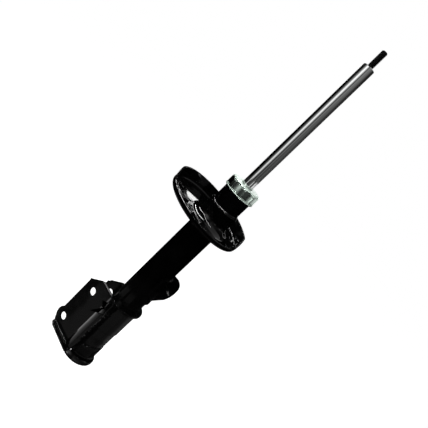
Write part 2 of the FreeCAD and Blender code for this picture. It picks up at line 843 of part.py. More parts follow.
def base_check_spring():
    """Spring that holds the base check plate down."""
    low = body_top + check_plate_t
    return star_spring(low, check_spring_rise, rivet_d / 2, check_hole_r + 1.0, low + check_spring_rise)


def base_shims():
    """Compression shims under the base valve."""
    first = tube(bleed_hole_r + 2.4, rivet_d / 2, body_low - base_shim_t / 2, body_low)
    second = tube(bleed_hole_r + 1.4, rivet_d / 2, body_low - base_shim_t, body_low - base_shim_t / 2)
    return first.fuse(second)


def base_rivet():
    """Rivet that clamps the base valve's shims and spring."""
    head = body_top + check_plate_t + check_spring_rise
    tail = body_low - base_shim_t
    shank = tube(rivet_d / 2, 0, tail, head)
    top = turned([rz(0, head), rz(rivet_head_d / 2, head), rz(rivet_head_d / 2, head + rivet_head_t * 0.5),
                  rz(rivet_head_d / 2 - 1.2, head + rivet_head_t), rz(0, head + rivet_head_t)])
    foot = turned([rz(0, tail), rz(rivet_head_d / 2, tail), rz(rivet_head_d / 2 - 1.0, tail - 1.5),
                   rz(0, tail - 1.5)])
    return shank.fuse(top).fuse(foot)


# ---------------------------------------------------------------- guide and seal
def rod_guide():
    """Guide that centres the rod, with a spigot in the cylinder and a drain to the reservoir."""
    bush_r = rod_r + running_clearance + bush_wall
    recess_r = bush_r + 3.0
    profile = [
        rz(bush_r, guide_low - guide_spigot),
        rz(cylinder_r, guide_low - guide_spigot),
        rz(cylinder_r, guide_low),
        rz(tube_inner_r - 3.0, guide_low),
        rz(tube_inner_r, guide_low + 6.0),
        rz(tube_inner_r, guide_high),
        rz(recess_r, guide_high),
        rz(recess_r, guide_high - guide_recess_t),
        rz(bush_r, guide_high - guide_recess_t),
    ]
    guide = turned(profile)
    start = Vector(recess_r - 1.0, 0, guide_high - guide_recess_t + 0.5)
    end = Vector(tube_inner_r - 1.5, 0, guide_low + 1.0)
    run = end - start
    drain = Part.makeCylinder(guide_drain_d / 2, run.Length + 4, start - run.normalize() * 2, run)
    return guide.cut(drain)


def guide_bush():
    """Lined bush pressed into the guide."""
    inner = rod_r + running_clearance
    high = guide_high - guide_recess_t - 1.0
    return tube(inner + bush_wall, inner, high - bush_length, high)


def rod_seal():
    """Rubber seal with a dust lip and an oil lip, moulded in one ring."""
    inner = rod_r + running_clearance
    low = guide_high
    high = low + seal_t
    profile = [
        rz(inner, low + 1.0),
        rz(inner + 1.8, low),
        rz(tube_inner_r - seal_case_t, low),
        rz(tube_inner_r, low + seal_case_t),
        rz(tube_inner_r, high),
        rz(inner + 1.8, high),
        rz(inner, high - 1.2),
        rz(inner, high - 2.4),
        rz(inner + seal_lip_gap, low + seal_t * 0.45),
        rz(inner, low + 2.2),
    ]
    return turned(profile)


def seal_washer():
    """Steel washer between the seal and the tube's rolled end."""
    low = guide_high + seal_t
    return tube(tube_inner_r, washer_bore_d / 2, low, low + washer_t)


# ---------------------------------------------------------------- rod and piston
cushion_high = guide_low - guide_spigot - body_clearance
stop_high = cushion_high - cushion_t
rod_shoulder = stop_high - stop_ring_t - piston_below_stop
support_low = rod_shoulder - support_t
piston_high = support_low - piston_spring_rise - check_plate_t
piston_low = piston_high - piston_t
shims_low = piston_low - piston_shim_t * piston_shim_count
washer_low = shims_low - piston_washer_t
nut_low = washer_low - nut_t


def piston_rod():
    """Ground rod with a stud on top and a spigot for the piston below."""
    groove = 0.8
    profile = [
        rz(0, nut_low - rod_end),
        rz(spigot_d / 2 - 1.0, nut_low - rod_end),
        rz(spigot_d / 2, nut_low - rod_end + 1.0),
        rz(spigot_d / 2, rod_shoulder),
        rz(rod_r, rod_shoulder),
        rz(rod_r, stop_high - stop_ring_t + 1.5),
        rz(rod_r - groove, stop_high - stop_ring_t + 1.5),
        rz(rod_r - groove, stop_high - 1.5),
        rz(rod_r, stop_high - 1.5),
        rz(rod_r, -rod_chamfer),
        rz(rod_r - rod_chamfer, 0),
        rz(stud_d / 2, 0),
        rz(stud_d / 2, stud_length - stud_chamfer),
        rz(stud_d / 2 - stud_chamfer, stud_length),
        rz(0, stud_length),
    ]
    return turned(profile)


def rebound_stop():
    """Ring swaged into the rod's groove."""
    groove = 0.8
    low = stop_high - stop_ring_t
    profile = [
        rz(rod_r, low),
        rz(stop_ring_d / 2 - 1.0, low),
        rz(stop_ring_d / 2, low + 1.0),
        rz(stop_ring_d / 2, stop_high),
        rz(rod_r, stop_high),
        rz(rod_r, stop_high - 1.5),
        rz(rod_r - groove, stop_high - 1.5),
        rz(rod_r - groove, low + 1.5),
        rz(rod_r, low + 1.5),
    ]
    return turned(profile)


def rebound_cushion():
    """Plastic cushion that meets the guide with the rod fully out."""
    profile = [
        rz(rod_r, stop_high),
        rz(cushion_d / 2, stop_high),
        rz(cushion_d / 2, cushion_high - 2.0),
        rz(cushion_d / 2 - 2.0, cushion_high),
        rz(rod_r, cushion_high),
    ]
    return turned(profile)


def piston_support():
    """Washer and collar that locate the piston's check plate."""
    washer = tube(support_d / 2, spigot_d / 2, support_low, rod_shoulder)
    collar = tube(piston_collar_d / 2, spigot_d / 2, piston_high, support_low)
    return washer.fuse(collar)


def piston_check_spring():
    """Spring that holds the piston's check plate down."""
    low = piston_high + check_plate_t
    return star_spring(low, piston_spring_rise, piston_collar_d / 2, check_hole_r + 2.0, support_low)


def piston_check_plate():
    """Plate that opens when the rod goes in."""
    return check_plate(piston_high, piston_collar_d / 2 + loose_clearance)


def piston():
    """Sintered piston with two rings of passages, a groove for the band and a raised rim below."""
    outer = cylinder_r - piston_gap
    groove_r = cylinder_r - running_clearance - band_t
    middle = (piston_high + piston_low) / 2
    profile = [
        rz(spigot_d / 2, piston_low),
        rz(outer - 0.8, piston_low),
        rz(outer, piston_low + 0.8),
        rz(outer, middle - band_width / 2),
        rz(groove_r, middle - band_width / 2),
        rz(groove_r, middle + band_width / 2),
        rz(outer, middle + band_width / 2),
        rz(outer, piston_high - 0.8),
        rz(outer - 0.8, piston_high),
        rz(spigot_d / 2, piston_high),
    ]
    body = turned(profile)
    body = drilled_ring(body, check_hole_d, check_hole_count, piston_inlet_r, piston_low, piston_high)
    return drilled_ring(body, bleed_hole_d, bleed_hole_count, piston_bleed_r, piston_low, piston_high, 30.0)


def piston_band():
    """Low-friction band that slides in the cylinder."""
    outer = cylinder_r - running_clearance
    middle = (piston_high + piston_low) / 2
    half = band_width / 2 - 0.1
    return tube(outer, outer - band_t + running_clearance, middle - half, middle + half)


def piston_shims():
    """Rebound shims under the piston, each smaller than the last."""
    discs = []
    for k in range(piston_shim_count):
        high = piston_low - k * piston_shim_t
        discs.append(tube(piston_shim_d / 2 - 1.2 * k, spigot_d / 2, high - piston_shim_t, high))
    return Part.makeCompound(discs)


def piston_washer():
    """Washer under the shims."""
    return tube(piston_shim_d / 2 - 4.0, spigot_d / 2, washer_low, shims_low)


def piston_nut():
    """Nut that holds the piston on the rod."""
    return hexagon(nut_width, nut_low, washer_low, spigot_d)


# ---------------------------------------------------------------- write the nodes
os.makedirs("parts", exist_ok=True)
left_leg = knuckle_leg()
left_seam = seam_weld()
nodes = {
    "outer_tube": outer_tube(),
    "base_cap": base_cap(),
    "base_weld": base_weld(),
    "bump_cap": bump_cap(),
    "spring_seat": spring_seat(),
    "seat_weld": seat_weld(),
    "knuckle_leg_left": left_leg,
    "knuckle_leg_right": mirrored(left_leg),
    "bracket_strap": bracket_strap(),
    "bracket_web": bracket_web(),
    "seam_weld_left": left_seam,
    "seam_weld_right": mirrored(left_seam),
    "link_bracket": link_bracket(),
    "link_weld": link_weld(),
    "link_nut": link_nut(),
    "inner_cylinder": inner_cylinder(),
    "base_valve_body": base_valve_body(),
    "base_check_plate": base_check_plate(),
    "base_check_spring": base_check_spring(),
    "base_shims": base_shims(),
    "base_rivet": base_rivet(),
    "rod_guide": rod_guide(),
    "guide_bush": guide_bush(),
    "rod_seal": rod_seal(),
    "seal_washer": seal_washer(),
    "piston_rod": piston_rod(),
    "rebound_stop": rebound_stop(),
    "rebound_cushion": rebound_cushion(),
    "piston_support": piston_support(),
    "piston_check_spring": piston_check_spring(),
    "piston_check_plate": piston_check_plate(),
    "piston": piston(),
    "piston_band": piston_band(),
    "piston_shims": piston_shims(),
    "piston_washer": piston_washer(),
    "piston_nut": piston_nut(),
}
for name, shape in nodes.items():
    save(name, shape)
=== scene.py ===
import math

import bmesh
import bpy
from mathutils import Matrix, Vector, noise


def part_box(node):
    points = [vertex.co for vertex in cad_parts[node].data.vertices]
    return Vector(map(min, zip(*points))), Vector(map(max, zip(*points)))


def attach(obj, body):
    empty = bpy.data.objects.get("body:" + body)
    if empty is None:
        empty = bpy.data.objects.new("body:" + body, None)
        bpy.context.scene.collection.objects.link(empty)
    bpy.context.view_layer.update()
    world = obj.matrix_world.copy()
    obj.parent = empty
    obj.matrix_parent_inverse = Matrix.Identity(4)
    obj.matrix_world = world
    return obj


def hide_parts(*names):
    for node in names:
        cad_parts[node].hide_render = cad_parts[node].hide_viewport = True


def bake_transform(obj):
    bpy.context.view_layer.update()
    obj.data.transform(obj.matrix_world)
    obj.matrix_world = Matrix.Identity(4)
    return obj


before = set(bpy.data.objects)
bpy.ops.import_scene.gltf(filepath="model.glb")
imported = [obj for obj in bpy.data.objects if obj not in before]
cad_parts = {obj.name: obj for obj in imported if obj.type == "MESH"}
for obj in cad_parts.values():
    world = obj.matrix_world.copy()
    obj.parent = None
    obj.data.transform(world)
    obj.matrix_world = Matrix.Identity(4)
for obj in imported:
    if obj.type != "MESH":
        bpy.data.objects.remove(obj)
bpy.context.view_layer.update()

# ---- Reservoir tube and base cup
# The strut's body: a 50 mm drawn steel tube, its top rolled in over the seal and its bottom
# closed by a pressed cup welded in. All of the body is dipped and baked in gloss black.
tube_low, tube_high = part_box("outer_tube")
tube_r = tube_high.x


def plug(node, **sockets):
    """Sets a node's settings and sockets. What is itself another node's output is wired in."""
    for name, value in sockets.items():
        if hasattr(node, name):
            setattr(node, name, value)
            continue
        socket = node.inputs[int(name[1:]) if name.startswith("_") else name.replace("_", " ")]
        if isinstance(value, bpy.types.NodeSocket):
            node.id_data.links.new(value, socket)
        else:
            socket.default_value = value
    return node


def node_maker(tree):
    """Returns a call that adds a shader node to a tree and plugs in what it is given."""
    return lambda kind, **sockets: plug(tree.nodes.new("ShaderNode" + kind), **sockets)


def new_finish(name):
    """An empty material, its Principled shader, its node maker and the piece's own coordinates."""
    finish = bpy.data.materials.new(name)
    finish.use_nodes = True
    shader = finish.node_tree.nodes["Principled BSDF"]
    add = node_maker(finish.node_tree)
    where = add("TexCoord").outputs["Object"]
    return finish, shader, add, where


def ramp(add, fac, *stops):
    """A colour ramp: each stop is a place and a grey or a colour."""
    node = add("ValToRGB", Fac=fac)
    band = node.color_ramp
    while len(band.elements) < len(stops):
        band.elements.new(0.5)
    for element, (place, shade) in zip(band.elements, stops):
        element.position = place
        element.color = (*shade, 1) if isinstance(shade, tuple) else (shade, shade, shade, 1)
    return node.outputs["Color"]


def speckle(add, where, fineness, detail=3.0, roughness=0.5):
    """Smooth noise; the higher its fineness, the smaller its spots."""
    return add("TexNoise", Vector=where, Scale=fineness, Detail=detail,
               Roughness=roughness).outputs["Fac"]


def bumped(add, height, strength, depth, **normal):
    """The surface's normal, or the one given, roughened by a height."""
    return add("Bump", Strength=strength, Distance=depth, Height=height, **normal).outputs["Normal"]


def gloss_black(name, shine, peel, sag=None, round_over=0.0005):
    """Baked black lacquer, its edges rounded by the coat. shine is its roughness from and to, peel
    the strength of its orange peel, and sag the strength and fineness of its slow runs."""
    thin_coat = (0.0004, 0.0004, 0.0004 * 1.08)
    thick_coat = (0.0012, 0.0012, 0.0012 * 1.06)
    cloud_fineness, peel_fineness, dust_fineness = 38.0, 420.0, 900.0
    dust = 0.04
    sag_depth, peel_depth, dust_depth = 0.01, 0.0004, 0.0001
    finish, shader, add, where = new_finish(name)
    cloud = speckle(add, where, cloud_fineness, 4.0, 0.6)
    skin = speckle(add, where, peel_fineness, 1.5, 0.4)
    specks = speckle(add, where, dust_fineness, 2.0)
    normal = add("Bevel", samples=6, Radius=round_over).outputs["Normal"]
    if sag:
        runs = speckle(add, where, sag[1], 1.0, 0.3)
        normal = bumped(add, runs, sag[0], sag_depth, Normal=normal)
    normal = bumped(add, skin, peel, peel_depth, Normal=normal)
    normal = bumped(add, specks, dust, dust_depth, Normal=normal)
    plug(shader, Base_Color=ramp(add, cloud, (0.35, thin_coat), (0.7, thick_coat)),
         Roughness=ramp(add, cloud, (0.3, shine[0]), (0.75, shine[1])), Normal=normal, IOR=1.5)
    return finish


def paint(finish, *names):
    """Gives CAD pieces a finish."""
    for name in names:
        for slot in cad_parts[name].material_slots:
            slot.material = finish


paint(gloss_black("tube_black", shine=(0.03, 0.07), peel=0.05), "outer_tube", "base_cap")

# ---- Base weld
# A MIG bead joins cup and tube at the bottom, laid in one turn; the paint covers its ripples.
# It is modelled as the bead itself, with a crescent ripple to each pulse of the torch.
merge_gap = 1e-6
cut_gap = 1e-7
weld_black = gloss_black("weld_black", shine=(0.16, 0.34), peel=0.22)
plug(weld_black.node_tree.nodes["Principled BSDF"], Specular_IOR_Level=0.2)


def finished(name, mesh, finish, body, node, smooth=60):
    """Turns a bmesh into a piece that rides on a body, if one is given, and stands for a CAD node.
    Edges that turn by less than smooth, in degrees, are shaded smooth."""
    bmesh.ops.remove_doubles(mesh, verts=mesh.verts, dist=merge_gap)
    bmesh.ops.recalc_face_normals(mesh, faces=mesh.faces)
    for face in mesh.faces:
        face.smooth = True
    for edge in mesh.edges:
        edge.smooth = edge.is_manifold and edge.calc_face_angle(0.0) < math.radians(smooth)
    data = bpy.data.meshes.new(name)
    mesh.to_mesh(data)
    mesh.free()
    data.materials.append(finish)
    piece = bpy.data.objects.new(name, data)
    bpy.context.scene.collection.objects.link(piece)
    if body:
        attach(piece, body)
    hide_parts(node)
    return piece


def ripple(run, pitch, across, bow=0.35):
    """A weld's crescents, 0 to 1, at a distance along it and a place from -1 to 1 across it."""
    return 0.5 + 0.5 * math.cos(2 * math.pi * (run / pitch + bow * across * across))


def ring_bead(name, node, toe, top, crown, pitch, lift, finish):
    """A bead laid once round the tube. Its face runs from toe over the crown to top, which are
    (radius, height) pairs, and its root lies behind them."""
    sides, root, steps_per_ripple = 10, 0.0004, 8
    lump_fineness, lump = 400.0, 0.5
    mesh = bmesh.new()
    start, end = Vector((toe[0], 0, toe[1])), Vector((top[0], 0, top[1]))
    chord = end - start
    out = Vector((chord.z, 0, -chord.x)).normalized() * (1 if end.z > start.z else -1)
    section = []
    for k in range(sides + 1):
        t = k / sides
        section.append(mesh.verts.new(start + chord * t + out * crown * 4 * t * (1 - t)))
    section.append(mesh.verts.new(Vector((end.x - root, 0, (start.z + end.z) / 2))))
    edges = [mesh.edges.new(pair) for pair in zip(section, section[1:] + section[:1])]
    ripples = int(2 * math.pi * toe[0] / pitch)
    bmesh.ops.spin(mesh, geom=section + edges, cent=(0, 0, 0), axis=(0, 0, 1),
                   angle=2 * math.pi, steps=ripples * steps_per_ripple, use_merge=True)
    for corner in mesh.verts:
        x, y, z = corner.co
        r = math.hypot(x, y)
        if r <= end.x + 1e-5:
            continue
        run = math.atan2(y, x) / (2 * math.pi) * ripples * pitch
        share = (Vector((r, 0, z)) - start).dot(chord) / chord.length ** 2
        across = max(-1.0, min(1.0, 2 * share - 1))
        uneven = lump * noise.noise(Vector((run * lump_fineness, across * 2.0, 3.0)))
        rise = lift * (1 - across * across) * (ripple(run, pitch, across) + uneven)
        corner.co += Vector((out.x * x / r, out.x * y / r, out.z)) * rise
    finished(name, mesh, finish, "barrel", node)


low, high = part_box("base_weld")
base_toe = (tube_r - 0.0004, tube_low.z - 0.0001)
base_top = (tube_r - 0.0045, low.z + 0.0002)
ring_bead("base_bead", "base_weld", base_toe, base_top, crown=0.0005, pitch=0.0024, lift=0.00018,
          finish=weld_black)

# ---- Pressure cylinder and base valve
# Inside stands a honed steel cylinder on a sintered valve body. Its shims and star spring are
# strip steel, held by one turned rivet. Its check plate lifts to let oil back in and bends the
# star's arms, and the star is cut into short lengths.


def worked_metal(name, colour, shine, fineness, along=(1, 1, 1), mark=0.08, spread=0.12,
                 metallic=1.0):
    """A machined, rolled, sintered or moulded surface. Its grain is stretched by along, and marks
    it in relief and in tone, which varies by spread."""
    cloud_fineness, mark_depth, edge_round = 55.0, 0.0002, 0.0002
    finish, shader, add, where = new_finish(name)
    laid = add("Mapping", Vector=where, Scale=along).outputs["Vector"]
    lines = speckle(add, laid, fineness, roughness=0.55)
    cloud = speckle(add, where, cloud_fineness, roughness=0.6)
    dark = tuple(c * (1 - spread) for c in colour)
    edge = add("Bevel", samples=4, Radius=edge_round).outputs["Normal"]
    plug(shader, Base_Color=ramp(add, lines, (0.3, dark), (0.7, colour)),
         Roughness=ramp(add, cloud, (0.3, shine[0]), (0.7, shine[1])),
         Normal=bumped(add, lines, mark, mark_depth, Normal=edge), Metallic=metallic)
    return finish


honed_steel = worked_metal("honed_steel", (0.60, 0.60, 0.59), (0.16, 0.26), 160.0,
                           along=(1, 1, 12))
sintered_iron = worked_metal("sintered_iron", (0.30, 0.29, 0.28), (0.42, 0.58), 1400.0,
                             mark=0.5, spread=0.35)
strip_steel = worked_metal("strip_steel", (0.44, 0.46, 0.50), (0.22, 0.34), 500.0,
                           along=(8, 1, 1))
turned_steel = worked_metal("turned_steel", (0.58, 0.58, 0.57), (0.20, 0.32), 260.0,
                            along=(1, 1, 14), mark=0.2)
paint(honed_steel, "inner_cylinder")
paint(sintered_iron, "base_valve_body")
paint(strip_steel, "base_check_plate", "base_shims")
paint(turned_steel, "base_rivet")


def star_spring(name, node):
    """The star that presses a check plate down, cut across its height into short lengths."""
    lengths = 10
    mesh = bmesh.new()
    mesh.from_mesh(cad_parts[node].data)
    bmesh.ops.remove_doubles(mesh, verts=mesh.verts, dist=merge_gap)
    low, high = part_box(node)
    for k in range(1, lengths):
        bmesh.ops.bisect_plane(mesh, geom=mesh.verts[:] + mesh.edges[:] + mesh.faces[:],
                               dist=cut_gap, plane_co=low.lerp(high, k / lengths),
                               plane_no=(0, 0, 1))
    star = finished(name, mesh, strip_steel, None, node, smooth=35)
    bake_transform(star)


star_spring("base_check_star", "base_check_spring")

# ---- Piston
# The sintered piston hangs on the rod's spigot between its support, check plate and shims, and a
# washer and a nut hold it. A filled PTFE band round it runs in the cylinder.
paint(sintered_iron, "piston")
paint(strip_steel, "piston_check_plate", "piston_shims")
paint(turned_steel, "piston_support", "piston_washer", "piston_nut")
band_ptfe = worked_metal("band_ptfe", (0.30, 0.19, 0.10), (0.35, 0.5), 900.0, mark=0.1,
                         spread=0.25, metallic=0.0)
paint(band_ptfe, "piston_band")
star_spring("piston_check_star", "piston_check_spring")

# ---- Rebound stop and cushion
# A turned steel ring rolled into the rod's groove carries a moulded nylon cushion, which meets
# the guide when the rod is fully out.
moulded_nylon = worked_metal("moulded_nylon", (0.74, 0.71, 0.61), (0.38, 0.52), 700.0, mark=0.06,
                             spread=0.08, metallic=0.0)
paint(turned_steel, "rebound_stop")
paint(moulded_nylon, "rebound_cushion")

# ---- Rod guide, bush and seal
# A sintered guide centres the rod in a bronze-backed bush. Above it lies a rubber seal moulded
# on a washer, and the tube's end is rolled in over them.
bush_bronze = worked_metal("bush_bronze", (0.62, 0.42, 0.20), (0.28, 0.42), 420.0,
                           along=(1, 1, 6))
seal_rubber = worked_metal("seal_rubber", (0.022, 0.022, 0.023), (0.5, 0.66), 1100.0, mark=0.12,
                           spread=0.3, metallic=0.0)
paint(sintered_iron, "rod_guide")
paint(bush_bronze, "guide_bush")
paint(seal_rubber, "rod_seal")
paint(turned_steel, "seal_washer")

# ---- Rod
# 20 mm steel bar, induction hardened, chromed and ground between centres. It is turned down to
# a spigot for the piston, grooved for the rebound stop, and its stud end is left for the thread.
rod_low, rod_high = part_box("piston_rod")
rod_r = rod_high.x
spigot_r = 0.006
spigot_chamfer = 0.001
chromed_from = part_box("piston_support")[1].z
rod_chamfer = 0.001
groove_depth = 0.0008
groove_inset = 0.0015
rod_sides = 128
stop_low, stop_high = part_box("rebound_stop")
groove_from, groove_to = stop_low.z + groove_inset, stop_high.z - groove_inset

ground_relief, ground_depth = 0.025, 0.0001
hard_chrome, shader, add, where = new_finish("hard_chrome")
laid = add("Mapping", Vector=where, Scale=(1, 1, 60)).outputs["Vector"]
ground = speckle(add, laid, 60.0, 4.0, 0.6)
cloud = speckle(add, where, 30.0)
plug(shader, Base_Color=ramp(add, ground, (0.3, (0.74, 0.75, 0.745)), (0.7, (0.80, 0.81, 0.80))),
     Roughness=ramp(add, cloud, (0.35, 0.045), (0.7, 0.085)), Metallic=1.0,
     Normal=bumped(add, ground, ground_relief, ground_depth))

rod = bmesh.new()
outline = [(0, rod_low.z), (spigot_r - spigot_chamfer, rod_low.z),
           (spigot_r, rod_low.z + spigot_chamfer), (spigot_r, chromed_from),
           (rod_r, chromed_from), (rod_r, groove_from), (rod_r - groove_depth, groove_from),
           (rod_r - groove_depth, groove_to), (rod_r, groove_to),
           (rod_r, -rod_chamfer), (rod_r - rod_chamfer, 0), (0, 0)]
profile = [rod.verts.new((r, 0, z)) for r, z in outline]
edges = [rod.edges.new(pair) for pair in zip(profile, profile[1:])]
bmesh.ops.spin(rod, geom=profile + edges, cent=(0, 0, 0), axis=(0, 0, 1), angle=2 * math.pi,
               steps=rod_sides, use_merge=True)
finished("ground_rod", rod, hard_chrome, "rod", "piston_rod", smooth=30)

# ---- Stud
# The rod's end carries an M10 x 1.25 rolled thread for the top mount's nut. It is phosphated
# black, with a short relief at the shoulder and a chamfered start.
stud_high = rod_high.z
stud_sink = 0.0005
thread_r = 0.005
thread_pitch = 0.00125
thread_root = thread_r - 0.00072
thread_from = 0.0003
relief_length = 0.0022
relief_r = 0.0041
run_in, run_in_slope = 0.0008, 1.1
nose_length, nose_taper, nose_curve = 0.0016, 0.0016, 1.6
steps_per_turn = 40

grit_relief, grit_depth = 0.25, 0.0001
phosphate, shader, add, where = new_finish("black_phosphate")
grit = speckle(add, where, 2200.0, roughness=0.7)
oil = speckle(add, where, 120.0)
plug(shader, Roughness=ramp(add, oil, (0.35, 0.42), (0.7, 0.66)), Specular_IOR_Level=0.05,
     Base_Color=ramp(add, grit, (0.35, (0.0012, 0.0012, 0.0014)), (0.75, (0.005, 0.0048, 0.0048))),
     Normal=bumped(add, grit, grit_relief, grit_depth))


def edges_of(parts):
    """The edges among what a bmesh operator gives back."""
    return [part for part in parts if isinstance(part, bmesh.types.BMEdge)]


stud = bmesh.new()
turns = math.ceil((stud_high + 2 * thread_pitch) / thread_pitch)
flank = [(thread_root, 0.0), (thread_root, 0.16), (thread_r, 0.46), (thread_r, 0.58),
         (thread_root, 0.88), (thread_root, 1.0)]
tooth = [stud.verts.new((r, 0, (share - 1.0) * thread_pitch)) for r, share in flank]
edges = [stud.edges.new(pair) for pair in zip(tooth, tooth[1:])]
bmesh.ops.spin(stud, geom=tooth + edges, cent=(0, 0, 0), axis=(0, 0, 1),
               angle=2 * math.pi * turns, dvec=(0, 0, thread_pitch / steps_per_turn),
               steps=steps_per_turn * turns)
bmesh.ops.remove_doubles(stud, verts=stud.verts, dist=2 * merge_gap)
for height, side in ((thread_from, 1), (stud_high, -1)):
    cut = bmesh.ops.bisect_plane(stud, geom=stud.verts[:] + stud.edges[:] + stud.faces[:],
                                 dist=cut_gap, plane_co=(0, 0, height), plane_no=(0, 0, -side),
                                 clear_outer=True)
    rim = edges_of(cut["geom_cut"])
    if side == 1:
        skirt = bmesh.ops.extrude_edge_only(stud, edges=rim)["geom"]
        bmesh.ops.translate(stud, vec=(0, 0, -height - stud_sink),
                            verts=[part for part in skirt if isinstance(part, bmesh.types.BMVert)])
        rim = [edge for edge in edges_of(skirt) if all(end.co.z < 0 for end in edge.verts)]
    bmesh.ops.contextual_create(stud, geom=rim)
for corner in stud.verts:
    nose = (corner.co.z - (stud_high - nose_length)) / nose_length
    reach = thread_r - nose_taper * max(0.0, nose) ** nose_curve
    if corner.co.z < relief_length:
        reach = relief_r + max(0.0, corner.co.z - relief_length + run_in) * run_in_slope
    r = corner.co.xy.length
    if r > reach:
        corner.co.xy *= reach / r
finished("stud_thread", stud, phosphate, "rod", "piston_rod", smooth=40)

# ---- Bump cap
# A cup pressed from 1.6 mm sheet over the tube's end: flat top, eight flutes with a vent each
# and a rolled lip. It is electroplated with zinc and passivated, which tints it faintly green.
drawn_relief, drawn_depth, cap_edge_round = 0.10, 0.0002, 0.0004
cap_finish, shader, add, where = new_finish("zinc_passivate_painted_top_light")
cloud = speckle(add, where, 70.0, 5.0, 0.65)
drawn = add("Mapping", Vector=where, Scale=(1, 1, 0.06)).outputs["Vector"]
streak = speckle(add, drawn, 420.0)
edge = add("Bevel", samples=4, Radius=cap_edge_round).outputs["Normal"]
# Faces turned up are made less metallic than the sides, so the top renders pale: a painted
# highlight on the cap's top.
up = add("SeparateXYZ", Vector=add("NewGeometry").outputs["Normal"]).outputs["Z"]
plug(shader, Base_Color=ramp(add, cloud, (0.3, (0.545, 0.645, 0.57)), (0.55, (0.65, 0.77, 0.69)),
                             (0.75, (0.70, 0.795, 0.70))),
     Roughness=ramp(add, cloud, (0.35, 0.09), (0.7, 0.20)),
     Normal=bumped(add, streak, drawn_relief, drawn_depth, Normal=edge),
     Metallic=ramp(add, up, (0.06, 1.0), (0.40, 0.25)))
paint(cap_finish, "bump_cap")

# ---- Spring seat
# A dish pressed from 2.6 mm sheet, pushed over the tube and welded round its drawn neck. It is
# tilted and set off to one side, and an end stop for the coil is pressed up from its floor.
# The neck bead's reflection is turned down by position on one side of the weld, a painted highlight
# kept to the other side.
seat_black = gloss_black("seat_black", shine=(0.02, 0.05), peel=0.03, sag=(0.015, 60.0),
                         round_over=0.0011)
paint(seat_black, "spring_seat")
neck_black = gloss_black("neck_black", shine=(0.03, 0.06), peel=0.02)
add = node_maker(neck_black.node_tree)
aside = add("SeparateXYZ", Vector=add("TexCoord").outputs["Object"]).outputs["Y"]
# Specular level by place across the bead: a painted highlight on one side, its reflection painted
# out on the other.
painted_highlight_side = add("MapRange", Value=aside, From_Min=0.016, From_Max=0.0215, To_Min=0.12, To_Max=1.0)
plug(neck_black.node_tree.nodes["Principled BSDF"], Specular_IOR_Level=painted_highlight_side.outputs[0])
low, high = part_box("seat_weld")
neck_toe = (high.x, low.z + 0.0001)
neck_top = (tube_r, high.z)
ring_bead("neck_bead", "seat_weld", neck_toe, neck_top, crown=0.0005, pitch=0.0026, lift=0.00005,
          finish=neck_black)

# ---- Knuckle bracket
# Two legs pressed from 3.2 mm sheet wrap onto the tube, a flanged strap closes them behind and
# a channel holds them apart. They are pressed on together and welded along the seams.
leg_black = gloss_black("leg_black", shine=(0.08, 0.12), peel=0.08, sag=(0.07, 32.0),
                        round_over=0.0012)
strap_black = gloss_black("strap_black", shine=(0.08, 0.16), peel=0.08, sag=(0.12, 40.0),
                          round_over=0.0012)
paint(leg_black, "knuckle_leg_left", "knuckle_leg_right")
paint(strap_black, "bracket_strap", "bracket_web")


def swept_up(section, low_z, high_z, rows):
    """A closed bar with a section given as (x, y) pairs, swept straight up in short rows."""
    bar = bmesh.new()
    ring = [bar.verts.new((x, y, low_z)) for x, y in section]
    edges = [bar.edges.new(pair) for pair in zip(ring, ring[1:] + ring[:1])]
    bar.faces.new(ring)
    swept = bmesh.ops.spin(bar, geom=ring + edges, cent=(0, 0, 0), axis=(0, 0, 1), angle=0.0,
                           dvec=(0, 0, (high_z - low_z) / rows), steps=rows)
    bmesh.ops.contextual_create(bar, geom=edges_of(swept["geom_last"]))
    return bar


seam_low, seam_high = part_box("seam_weld_left")
seam_shift, seam_sink, seam_depth = 0.0016, 0.0008, 0.0024
seam_x = (seam_low.x + seam_high.x) / 2 + seam_shift
seam_r = math.hypot(seam_high.x, seam_high.y) - seam_sink
seam_root_y = tube_r - seam_depth
seam_half = 0.0048
seam_columns, seam_rows = 7, 240
seam_crown = 0.0013
seam_pitch, seam_bow, seam_ripple = 0.0042, 0.4, 0.0006
lump_fineness, seam_lump = 260.0, 0.0007
toe_fineness, jag_fineness, seam_wander = 120.0, 430.0, 0.0036
for side, name in ((1, "left"), (-1, "right")):
    section = [(seam_x + seam_half * (k / seam_columns - 1), side * seam_r)
               for k in range(2 * seam_columns + 1)] + [(seam_x, side * seam_root_y)]
    bead = swept_up(section, seam_low.z, seam_high.z, seam_rows)
    for corner in bead.verts:
        if abs(corner.co.y) < tube_r:
            continue
        across = (corner.co.x - seam_x) / seam_half
        up = corner.co.z
        toe = noise.noise(Vector((up * toe_fineness, side * 5.0, 1.0))) \
            + 0.4 * noise.noise(Vector((up * jag_fineness, side, 7.0)))
        corner.co.x += seam_wander * (toe if across > 0 else 0.4 * toe) * abs(across)
        lump = noise.noise(Vector((up * lump_fineness, across * 1.5, side * 3.0)))
        crown = seam_crown + seam_lump * lump \
            + seam_ripple * ripple(up, seam_pitch, across, seam_bow)
        corner.co.y = side * (math.sqrt(seam_r ** 2 - corner.co.x ** 2)
                              + crown * (1 - across * across))
    finished("seam_bead_" + name, bead, weld_black, "barrel", "seam_weld_" + name)

# ---- Link bracket
# A plate with a welding foot that follows the tube, for the stabiliser link's ball stud. A weld
# nut sits behind its hole, and one bead runs up the foot's edge.
paint(gloss_black("plate_black", shine=(0.10, 0.20), peel=0.08), "link_bracket", "link_nut")

